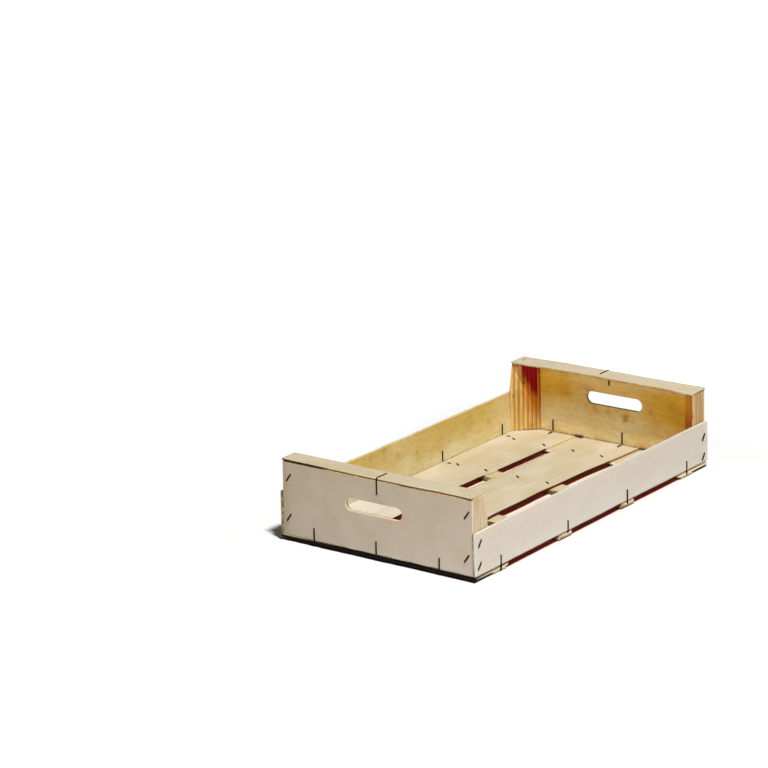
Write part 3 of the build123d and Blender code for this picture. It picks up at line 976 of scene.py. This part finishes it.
def red_heart(from_end, height, ragged):
    """The red post's heart, stain and brightness, by the share of the way from the side panel to the tip of
    the end panel's leg, and up the post. Red lies above a slant and under the cap: heart wood, with painted
    shade of the cap in it. Orange spreads from the end panel and fades towards the foot, and where the lamp
    reaches it, it is made browner, which is painted shade. In the cap's shade the orange is stronger and a
    strip beside the side panel is painted brighter, painted light which evens out that shade a little."""
    above = 0.75 * (from_end - 0.5) + height - 0.752 + 0.7 * ragged
    end_strip = ramp(from_end, 0.870, 0.900) * ramp(-from_end, -0.965, -0.945)
    red = ramp(above, -0.13, 0.11) * ramp(from_end, 0.26, 0.38) * (1.0 - 0.65 * end_strip)
    in_shade = ramp(from_end + 1.06 * (height - 1.0), -0.02, 0.06)
    orange = ramp(from_end + 0.25 * (height - 0.5) + 0.3 * ragged, 0.36, 0.52) * ramp(height, 0.10, 0.42)
    brown_painted_shade = 0.25 * orange * (1.0 - in_shade)
    orange = orange * (0.68 + 0.32 * in_shade)
    # Ragged tongues of red under the cap: painted shade of the cap.
    tongues = height + 0.6 * ragged + 0.10 * ramp(from_end, 0.30, 0.45)
    under_cap = 0.8 * ramp(tongues, 0.86, 0.97) * ramp(from_end, 0.07, 0.17)
    end_edge = 0.85 * ramp(from_end, 0.955, 0.975) * ramp(height, 0.02, 0.15)
    side_edge = 0.22 * ramp(-from_end, -0.06, -0.02)
    foot_line = 0.6 * ramp(-height, -0.022, -0.006) * ramp(from_end, 0.25, 0.40)
    knots = stain_map(heart_width * from_end, heart_height * height, heart_knots)
    pale_foot = 0.12 * ramp(-height, -0.36, -0.16) * ramp(-from_end, -0.65, -0.45)
    painted_light_strip = 0.6 * in_shade * ramp(-from_end, -0.32, -0.22) * ramp(-height, -0.97, -0.90)
    heart = np.max((0.5 * orange + 0.5 * red, under_cap, end_edge, side_edge), axis=0)
    return heart, np.max((knots, foot_line, brown_painted_shade), axis=0), np.maximum(painted_light_strip, pale_foot)


def corner_post(node, x_sign, y_sign, seed):
    """A right-angled triangle carried up the corner; its section is measured from the right angle."""
    low, high = (np.array(corner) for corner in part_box(node))
    x_corner = high[0] if x_sign > 0 else low[0]
    y_corner = high[1] if y_sign > 0 else low[1]
    side_leg, end_leg = post_leg * MM, (wide_leg if node == red_post else post_leg) * MM
    corners = np.array([(0.0, 0.0), (-x_sign * end_leg, 0.0), (0.0, -y_sign * side_leg)])
    if x_sign * y_sign < 0:
        corners = corners[::-1]
    up, across, through, _, _ = carried(corners, post_round * MM, low[2], high[2], up_spacing, face_spacing)
    height = (up - low[2]) / (high[2] - low[2])
    if node == red_post:
        through = through * line_at(bent_legs, up / MM) / post_leg
    sway_x = post_sway * ripple(seed, sway_length, up, through)
    sway_y = post_sway * ripple(seed + 1, sway_length, up, across)
    from_end, from_side = -x_sign * across / end_leg, -y_sign * through / side_leg
    looking_in = from_end + from_side > 0.88
    looks = post_looks[node]
    if node == red_post:
        ragged = 0.10 * ripple(seed + 2, 0.012, across + through)
        heart, stain, bright = red_heart(from_end, height, ragged)
    else:
        stain, bright = 0.0 * up, 0.0 * up
        border = from_side - 0.05 * np.exp(-((height - 0.71) / 0.03) ** 2)
        deeper = 0.5 * ramp(-height, -0.85, -0.5) + 0.3 * ramp(border, 0.72, 0.80)
        looking_in = looking_in & (border < 0.95)
        heart = looks["heart"] * looking_in * (1.0 + deeper)
        heart = heart + 0.3 * (node == pale_post) * ramp(from_side, 0.93, 0.99)
    values = {
        "face": np.where(looking_in, 0.0, 1.0), "heart": heart, "stain": stain, "bright": bright,
        "tan": looks["tan"] * (1.0 - 0.7 * ramp(from_side, 0.72, 0.86)),
        "stripes": looks["stripes"] + 0.0 * up,
    }
    values = {label: with_middles(grid) for label, grid in values.items()}
    up_all, across_all, through_all = (with_middles(grid) for grid in (up, across, through))
    values["section"] = np.column_stack((up_all, -x_sign * across_all, -y_sign * through_all))
    values["grain"] = grain_place(seed, up_all, across_all, through_all)
    x_corner = x_corner + (near_right_shift * MM if node == pale_post else 0.0)
    points = np.column_stack((
        with_middles(x_corner + across + sway_x), with_middles(y_corner + through + sway_y), up_all))
    return put_piece(node, "_wood", "pine_post", points, *tube_faces(*up.shape), values)


post_corners = (("front_left", -1, -1), ("front_right", 1, -1), ("back_left", -1, 1), ("back_right", 1, 1))
posts = [corner_post("corner_post_" + corner, x_sign, y_sign, 201 + 10 * i)
         for i, (corner, x_sign, y_sign) in enumerate(post_corners)]
print("posts:", [piece.name for piece in posts])

# %% [markdown]
# An end panel has a hole, so it isn't a carried outline. It is one closed band instead: every point of
# the outer edge is paired with the nearest point of the hand slot, and the band runs from the slot over
# the outer face, round the edge, back over the inner face and through the slot's wall. Going round the
# panel and round that band are the two parameters.

# %% Slotted band
slots = {"front": (-2.6, 74.0, 47.7, 9.0), "back": (5.5, 75.2, 48.8, 9.6)}
outline_round, edge_round = 0.8, 0.5
face_rows_count, turn_rows_count = 14, 6
band_depths = (4.0, 2.6, 1.6, 0.8, 0.0)


def slotted_band(end, low, high):
    """The band's rows of points, as places across and up and the depth from the panel's middle, and whether
    a row is cut edge. The slot is the set of points at one distance from a short line, so the nearest slot
    point lies on the way from that line to the outer point."""
    panel_corners = [(low[0], low[2]), (high[0], low[2]), (high[0], high[2]), (low[0], high[2])]
    bases, pushes = rounded_outline(panel_corners, outline_round * MM, plank_spacing)
    outer = bases + outline_round * MM * pushes
    slot_centre, slot_level, slot_half_length, slot_half_height = slots[end]
    straight = slot_half_length - slot_half_height
    line_x = np.clip(outer[:, 0], (slot_centre - straight) * MM, (slot_centre + straight) * MM)
    on_line = np.column_stack((line_x, np.full(len(outer), slot_level * MM)))
    away = outer - on_line
    away = away / np.linalg.norm(away, axis=1)[:, None]
    rim, half = edge_round * MM, (high[1] - low[1]) / 2
    slot_base = on_line + (slot_half_height * MM + rim) * away
    outer_base = outer - rim * pushes
    centre, halves = (low[[0, 2]] + high[[0, 2]]) / 2, (high[[0, 2]] - low[[0, 2]]) / 2
    insets = np.array([centre + (outer_base - centre) * (1.0 - band * MM / halves) for band in band_depths])
    shares = np.linspace(0.0, 1.0, face_rows_count)[:, None, None]
    face_rows = np.concatenate((slot_base[None] + shares * (insets[0] - slot_base)[None], insets[1:]))
    turn = np.linspace(np.pi / 2, -np.pi / 2, turn_rows_count + 2)[1:-1]
    bulge = rim * np.cos(turn)[:, None, None]
    turn_depth = (half - rim) * np.sign(np.sin(turn)) + rim * np.sin(turn)
    face_depth = np.full(len(face_rows), half)
    flat = np.concatenate((
        face_rows, outer_base[None] + bulge * pushes[None],
        face_rows[::-1], (slot_base[None] - bulge * away[None])[::-1]))
    depth = np.concatenate((face_depth, turn_depth, -face_depth, turn_depth[::-1]))
    cut_edge = np.repeat((0.0, 1.0, 0.0, 1.0), [len(face_rows), turn_rows_count] * 2)
    columns = np.ones(len(outer))
    return flat[..., 0], flat[..., 1], depth[:, None] * columns, cut_edge[:, None] * columns


def ring_faces(rows, columns):
    """Quads between neighbouring points of a grid that is closed both ways."""
    index = np.arange(rows * columns).reshape(rows, columns)
    beside, after = np.roll(index, -1, axis=1), np.roll(index, -1, axis=0)
    return np.stack((index, beside, np.roll(after, -1, axis=1), after), axis=-1).reshape(-1, 4)


print("slot lengths, mm:", {end: round(2 * slot[2], 1) for end, slot in slots.items()})

# %% [markdown]
# The near end is seen from outside: grey-brown, darker to its left and top, which is painted shade, with dark
# open joints on three sides. The far end is seen from inside: it is the yellowest piece of the crate, brown
# towards its ends and the cap, where the brown is partly painted shade, with brown spots round its slot, a
# brown line along the floor, painted shade in the middle of its foot, and two small notches at its foot.

# %% End panels
drift = {"front": 1.2, "back": 0.0}
top_drop = {"front": 0.0, "back": 0.3}
foot_notches = ((-58.0, 8.0, 2.4), (58.0, 9.0, 0.8))
side_top = 0.072
back_spots = [
    (26.3, 53.0, 4.2, 1.0), (26.8, 50.0, 3.4, 1.0), (-8.8, 57.5, 3.0, 0.5), (-3.0, 57.0, 3.0, 0.4),
    (-28.8, 61.0, 4.5, 0.7), (-24.0, 51.0, 2.5, 0.35), (-44.0, 61.0, 3.0, 0.45), (10.0, 60.0, 3.0, 0.4),
    (38.8, 48.5, 2.4, 0.5), (-108.8, 71.0, 2.2, 0.7), (-89.0, 73.5, 4.0, 0.35), (-80.0, 74.5, 3.5, 0.35),
    (-60.0, 55.8, 6.0, 0.15), (68.5, 68.5, 3.2, 0.7), (74.5, 80.5, 4.0, 0.45), (101.0, 82.5, 4.0, 0.40),
    (109.0, 84.0, 4.0, 0.40), (112.0, 66.0, 4.0, 0.35), (125.0, 72.0, 4.0, 0.40), (98.8, 42.0, 3.5, 0.35),
    (60.0, 88.0, 6.0, 0.3), (-50.0, 88.0, 8.0, 0.25), (120.0, 55.0, 4.0, 0.35), (-38.0, 86.0, 5.0, 0.9),
]
front_spots = [
    (-4.5, 39.0, 4.5, 0.22), (-90.0, 72.0, 2.5, 0.25), (24.0, 62.5, 4.0, 0.25), (45.0, 66.0, 5.0, 0.35),
]
inner_spots = {"front": back_spots[4:9], "back": back_spots}
outer_spots = {"front": front_spots, "back": front_spots[1:2]}


def front_warmth_and_shade(x, z):
    """The near end is browner and darker towards its top and its left, as seen from outside, which is painted
    shade, and browner along its left edge.
    """
    leftwards, upwards = (0.158 - x) / 0.316, (z - 0.010) / 0.106
    near_edge = 0.35 * ramp(-x, 0.148, 0.156)
    browner = 1.0 - (1.0 - 0.62 * leftwards) * (1.0 - 0.62 * upwards)
    return browner + near_edge + 0.08 * ripple(305, 0.06, x, z)


def back_warmth_and_shade(x, z):
    """The far end is browner towards its top, as painted shade of the cap, and towards both ends, most to the
    right, where painted shade is added too, and pale near its foot, below that shade.
    """
    rightwards = 0.55 * ramp(x, 0.020, 0.110) * (0.5 + 0.5 * ramp(z, 0.020, 0.060))
    leftwards = (0.33 * ramp(-x, 0.040, 0.090) + 0.15 * ramp(-x, 0.095, 0.115)) * ramp(z, 0.035, 0.075)
    round_slot = 0.12 * ramp(z, 0.045, 0.055) * ramp(-z, -0.100, -0.092)
    pale_top = (0.04 + 0.35 * ramp(x, 0.0, 0.08)) * ramp(z, 0.097, 0.105)
    upwards = 0.10 + 0.36 * ramp(z, 0.030, 0.095)
    return upwards + rightwards + leftwards + round_slot - pale_top + 0.10 * ripple(315, 0.05, x, z)


def front_marks(x, z, face, in_slot, low, high):
    """Soil and stain of the near end: dark open joints, thick under the cap at the left, broken lines down
    both sides and along the bottom, and brown just under the cap."""
    from_top, from_foot = high[2] - z, z - low[2]
    from_side = np.minimum(x - low[0], high[0] - x)
    under_cap = ramp(-x, 0.074, 0.090) * ramp(-from_top, -0.6 * MM, -0.2 * MM)
    beside = 0.7 * (z < side_top) * ramp(-from_side, -1.2 * MM, -0.3 * MM) * broken(306, 0.02, z, -0.6, 0.2)
    dashes = np.maximum(broken(307, 0.03, x, -0.4, 0.3), ramp(-x, 0.085, 0.100))
    below = 0.65 * ramp(-from_foot, -1.3 * MM, -0.2 * MM) * dashes
    brown_top = 0.85 * (face > 0.5) * ramp(-from_top, -1.6 * MM, -0.6 * MM)
    return np.max((under_cap, beside, below), axis=0) * (face > 0.3), brown_top


def back_marks(x, z, face, in_slot, low, high):
    """Soil and stain of the far end: a brown line along the floor, shade in the foot's middle and towards
    the upper right, and a brown slot."""
    inside = face < 0.5
    foot = 0.9 * inside * ramp(-z, -0.0130, -0.0098) * broken(7, 0.02, x, -1.8, -0.4)
    shaded_foot = 0.13 * inside * ramp(-z, -0.022, -0.011) * ramp(-np.abs(x + 0.015), -0.105, -0.075)
    shaded_right = 0.05 * inside * ramp(x, 0.050, 0.100) * ramp(z, 0.050, 0.070)
    return np.max((0.2 * foot, shaded_foot, shaded_right, 0.35 * in_slot), axis=0), foot + 0.7 * in_slot


def slotted_panel(end, y_sign, seed, warmth, marks):
    """A closed band round the hand slot, with spots on both faces, its joints' marks, and a little drift."""
    node = "end_panel_" + end
    low, high = (np.array(corner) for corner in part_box(node))
    x, z, depth, cut_edge = slotted_band(end, low, high)
    face = depth / (high[1] - low[1]) + 0.5
    in_slot = np.zeros_like(x)
    in_slot[-turn_rows_count:] = 1.0
    grime, stain = marks(x, z, face, in_slot, low, high)
    inside, outside = stain_map(x, z, inner_spots[end]), stain_map(x, z, outer_spots[end])
    spots = inside * (face < 0.5) + outside * (face > 0.5)
    stain = np.maximum(spots, stain) if end == "front" else spots + stain
    values = {
        "face": face, "rim": cut_edge, "stain": np.clip(stain, 0.0, 1.0), "grime": grime,
        "warm": np.clip(warmth(x, z), 0.0, 1.0),
    }
    if end == "back":
        for place, half_width, rise in foot_notches:
            across_notch = ramp(-np.abs(x / MM - place), -half_width - 2.0, -half_width)
            z = z + rise * MM * ramp(-z, -0.014, -low[2]) * across_notch
    x = x + drift[end] * MM * (ramp(x, 0.05, 0.16) + ramp(-x, 0.05, 0.16) * ramp(z, 0.03, 0.116))
    lifted = ramp(z, slots[end][1] * MM, high[2])
    z = z - top_drop[end] * MM * lifted * ramp(-x, -0.02, -low[0])
    z = z + 0.2 * MM * lifted * ripple(seed + 3, 0.06, x)
    z = z + 0.25 * MM * ramp(-z, -0.02, -low[2]) * ripple(seed + 4, 0.05, x)
    y = (low[1] + high[1]) / 2 + y_sign * (depth + 0.15 * MM * ripple(seed, 0.2, x, z))
    values = {label: grid.ravel() for label, grid in values.items()}
    values["grain"] = grain_place(seed, x.ravel(), z.ravel(), depth.ravel())
    points = np.column_stack((x.ravel(), y.ravel(), z.ravel()))
    no_fans = np.zeros((0, 3), int)
    return put_piece(node, "_ply", "poplar_ply", points, ring_faces(*x.shape), no_fans, values)


end_panels = [
    slotted_panel("front", -1, 301, front_warmth_and_shade, front_marks),
    slotted_panel("back", 1, 311, back_warmth_and_shade, back_marks),
]
print("end panels:", [len(piece.data.vertices) for piece in end_panels])

# %% [markdown]
# Staples and stitches are bent from round wire. Each is a path in a plane, given by its corners in mm,
# which a short curve rounds, and a circle is carried along it. The crowns are pressed halfway into the
# wood, so they stand proud by about their radius and throw a thin shadow.

# %% Wire
wire_radius, wire_bend, wire_sides, bend_steps = 1.2, 1.6, 10, 6
longest_cut = 0.45
side_face, end_face, end_thickness, side_thickness = 165.0, 298.5, 4.5, 4.0
floor_top, cap_top = 9.0, 120.0


def bent_path(corners):
    """The path through the corners, each cut back on both sides and bridged by a parabola."""
    corners = np.asarray(corners, float)
    steps = np.diff(corners, axis=0)
    lengths = np.linalg.norm(steps, axis=1)
    ways = steps / lengths[:, None]
    shares = np.linspace(0.0, 1.0, bend_steps)[:, None]
    rounds = [corners[:1]]
    for i in range(1, len(corners) - 1):
        cut = min(wire_bend, longest_cut * lengths[i - 1], longest_cut * lengths[i])
        start, stop = corners[i] - cut * ways[i - 1], corners[i] + cut * ways[i]
        rounds.append((1 - shares) ** 2 * start + 2 * shares * (1 - shares) * corners[i] + shares ** 2 * stop)
    rounds.append(corners[-1:])
    return np.concatenate(rounds)


def wire_tube(origin, right, up, corners):
    """A circle carried along a bent path in the plane through origin with the directions right and up."""
    path = bent_path(corners)
    ways = np.gradient(path, axis=0)
    ways = ways / np.linalg.norm(ways, axis=1)[:, None]
    beside = np.column_stack((-ways[:, 1], ways[:, 0]))
    turns = np.linspace(0.0, 2 * np.pi, wire_sides, endpoint=False)
    ring = path[:, None] + wire_radius * np.cos(turns)[None, :, None] * beside[:, None]
    rise = wire_radius * np.sin(turns)[None, :, None] * np.ones((len(path), 1, 1))
    points = np.asarray(origin) + ring[..., :1] * right + ring[..., 1:] * up + rise * np.cross(right, up)
    flat = np.column_stack([with_middles(points[..., k]) for k in range(3)])
    return flat * MM, *tube_faces(len(path), wire_sides)


def put_wires(node, wires):
    """All the wires of a node as one piece; each is turned outwards before they are joined."""
    all_points, all_quads, all_fans, count = [], [], [], 0
    for points, quads, fans in wires:
        quads, fans = turned_outwards(points - points.mean(axis=0), quads, fans)
        all_points.append(points)
        all_quads.append(quads + count)
        all_fans.append(fans + count)
        count += len(points)
    points = np.concatenate(all_points)
    values = {"grain": grain_place(len(points), *points.T)}
    return put_piece(
        node, "_wire", "staple_wire", points, np.concatenate(all_quads), np.concatenate(all_fans), values)


print("wire, mm across:", 2 * wire_radius)

# %% [markdown]
# Each wall is described by the middle of its outer face's foot, the way along it and the way in. Leaning
# staples hold the panels to the posts, two at each panel end, and all lean the same way. The right side
# stands out a little at the near end, and its wires go with it.

# %% Post staples
walls = {
    "front": np.array(((0.0, -end_face, 0.0), (1.0, 0.0, 0.0), (0.0, 1.0, 0.0))),
    "back": np.array(((0.0, end_face, 0.0), (-1.0, 0.0, 0.0), (0.0, -1.0, 0.0))),
    "left": np.array(((-side_face, 0.0, 0.0), (0.0, -1.0, 0.0), (1.0, 0.0, 0.0))),
    "right": np.array(((side_face, 0.0, 0.0), (0.0, 1.0, 0.0), (-1.0, 0.0, 0.0))),
}
upward = np.array((0.0, 0.0, 1.0))
lean = np.radians(54.0)
proud = 0.1
staple_sizes = {"front": (13.5, 15.5), "back": (13.5, 15.5), "left": (12.0, 15.0), "right": (12.0, 15.0)}
staple_places = {
    "front": ((-149.3, 93.2), (-150.4, 34.8), (152.5, 94.0), (151.6, 32.5)),
    "back": ((-151.0, 93.0), (-151.0, 33.0), (151.0, 93.0), (151.0, 33.0)),
    "left": ((-288.0, 50.0), (-288.0, 20.0), (288.0, 50.0), (288.0, 20.0)),
    "right": ((-288.4, 54.2), (-289.5, 22.6), (288.0, 48.0), (288.0, 18.0)),
}


def wall_origin(wall, along):
    """The foot of a wall's outer face at a place along it; the right side stands out a little."""
    middle, beside, inward = walls[wall]
    out = right_splay(along * MM) if wall == "right" else 0.0
    return middle + along * beside - out * inward


def leaning_staple(wall, along, height):
    """A staple whose crown leans on the outer face of a wall and whose legs go straight in."""
    _, beside, inward = walls[wall]
    crown, depth = staple_sizes[wall]
    crown_way = np.cos(lean) * beside + np.sin(lean) * upward
    corners = [(-crown / 2, depth), (-crown / 2, -proud), (crown / 2, -proud), (crown / 2, depth)]
    return wire_tube(wall_origin(wall, along) + height * upward, crown_way, inward, corners)


for wall, places in staple_places.items():
    put_wires("post_staples_" + wall, [leaning_staple(wall, *place) for place in places])
print("leaning staples:", sum(len(places) for places in staple_places.values()))

# %% [markdown]
# A bottom stitch holds wall and floor together. It starts with a leg clinched against the inside of the
# wall, comes out through the wall, runs down the outside and under the bottom, and comes up again
# behind the wall to a tail on the floor. A cap stitch does the same over the cap.

# %% Stitches
clinch_lift = 0.2
wall_thickness = {
    "front": end_thickness, "back": end_thickness, "left": side_thickness, "right": side_thickness,
}
stitch_legs = {
    "front": (12.0, 3.0, 10.0), "back": (17.0, 3.0, 10.0),
    "left": (16.0, 9.0, 5.5), "right": (12.0, 3.0, 10.0),
}
stitch_places = {
    "front": ((-107.0, 26.8, 3.5), (0.0, 27.8, 3.5), (106.0, 24.8, 3.5)),
    "back": ((-107.0, 28.5, 3.5), (-19.5, 28.5, 3.5), (105.0, 28.5, 3.5)),
    "left": ((-238.0, 26.5, 0.0), (-82.0, 26.5, 0.0), (80.3, 26.5, 0.0), (241.0, 26.5, 0.0)),
    "right": ((-239.5, 23.5, 0.0), (-74.2, 24.2, 5.5), (79.3, 25.3, 3.0), (241.0, 23.8, 2.0)),
}
cap_clinch, cap_reach, cap_tail, under_cap, cap_sunk = 107.0, 24.0, 16.0, 116.8, 0.5
cap_staple_half, cap_staple_depth = 6.0, 13.0


def bottom_stitch(wall, along, upper, underside):
    """Down the outside, under the bottom and up to a tail, in a plane square to the wall."""
    clinch, behind, tail = stitch_legs[wall]
    inside = wall_thickness[wall] + clinch_lift
    foot = wall_thickness[wall] + behind
    lower, on_floor = underside + wire_radius - proud, floor_top + clinch_lift
    corners = [
        (inside, upper - clinch), (inside, upper), (-proud, upper), (-proud, lower),
        (foot, lower), (foot, on_floor), (foot + tail, on_floor),
    ]
    return wire_tube(wall_origin(wall, along), walls[wall][2], upward, corners)


def cap_stitch(wall, along, lift, foot, aside=0.0):
    """Up the outside, over the cap, which is lifted there, and down through it to a tail, clinched up the
    inside. The part over the cap may lie a little to the left."""
    inside, over = end_thickness + clinch_lift, cap_top + proud - cap_sunk + lift
    corners = [
        (inside, cap_clinch), (inside, foot), (-proud, foot), (-proud, over),
        (cap_reach, over), (cap_reach, under_cap), (cap_tail, under_cap),
    ]
    points, quads, fans = wire_tube(wall_origin(wall, along), walls[wall][2], upward, corners)
    points[:, 0] -= aside * MM * ramp(points[:, 2], 0.108, 0.117)
    return points, quads, fans


for wall, places in stitch_places.items():
    put_wires("bottom_stitches_" + wall, [bottom_stitch(wall, *place) for place in places])
put_wires("cap_stitch_front", [cap_stitch("front", 3.4, 0.0, 96.0)])
put_wires("cap_stitch_back", [cap_stitch("back", 3.4, 1.5, 99.0, 3.5)])
crown_level = proud - wire_radius
cap_staple = [
    (-cap_staple_half, -cap_staple_depth), (-cap_staple_half, crown_level),
    (cap_staple_half, crown_level), (cap_staple_half, -cap_staple_depth),
]
for end, y in (("front", -284.0), ("back", 284.0)):
    put_wires("cap_staples_" + end, [
        wire_tube((x, y, cap_top), np.array((0.0, 1.0, 0.0)), upward, cap_staple) for x in (-150.0, 150.0)])
print("bottom stitches:", sum(len(places) for places in stitch_places.values()))

# %% [markdown]
# Floor staples come up through a crossbar and a board, and their ends are bent inwards on the floor,
# where they show as pairs of dark dashes. Each row has one at both walls and one beside each board edge.

# %% Floor staples
floor_turn = np.radians(-35.0)
turned_way = np.array((np.cos(floor_turn), np.sin(floor_turn), 0.0))
staple_rows = ((-241.0, 24.5, 24.5), (-80.3, 24.5, 24.5), (84.0, 26.9, 15.5), (231.0, 24.5, 23.0))
near_wall, left_set_back, right_set_back = 135.0, 12.5, 13.5
leg_half, crown_height, tip_half = 4.4, 0.6, 0.2
on_floor = floor_top + clinch_lift
floor_staple = [
    (-tip_half, on_floor), (-leg_half, on_floor), (-leg_half, crown_height),
    (leg_half, crown_height), (leg_half, on_floor), (tip_half, on_floor),
]

for number, (y, from_left, from_right) in enumerate(staple_rows, start=1):
    places = (
        -near_wall, line_at(board_lines["left"][1], y) - left_set_back,
        line_at(board_lines["middle"][0], y) + from_left, line_at(board_lines["middle"][1], y) - from_right,
        line_at(board_lines["right"][0], y) + right_set_back, near_wall,
    )
    put_wires(f"floor_staples_{number}", [
        wire_tube((x, y, 0.0), turned_way, upward, floor_staple) for x in places])
print("floor staples:", len(staple_rows) * len(places))
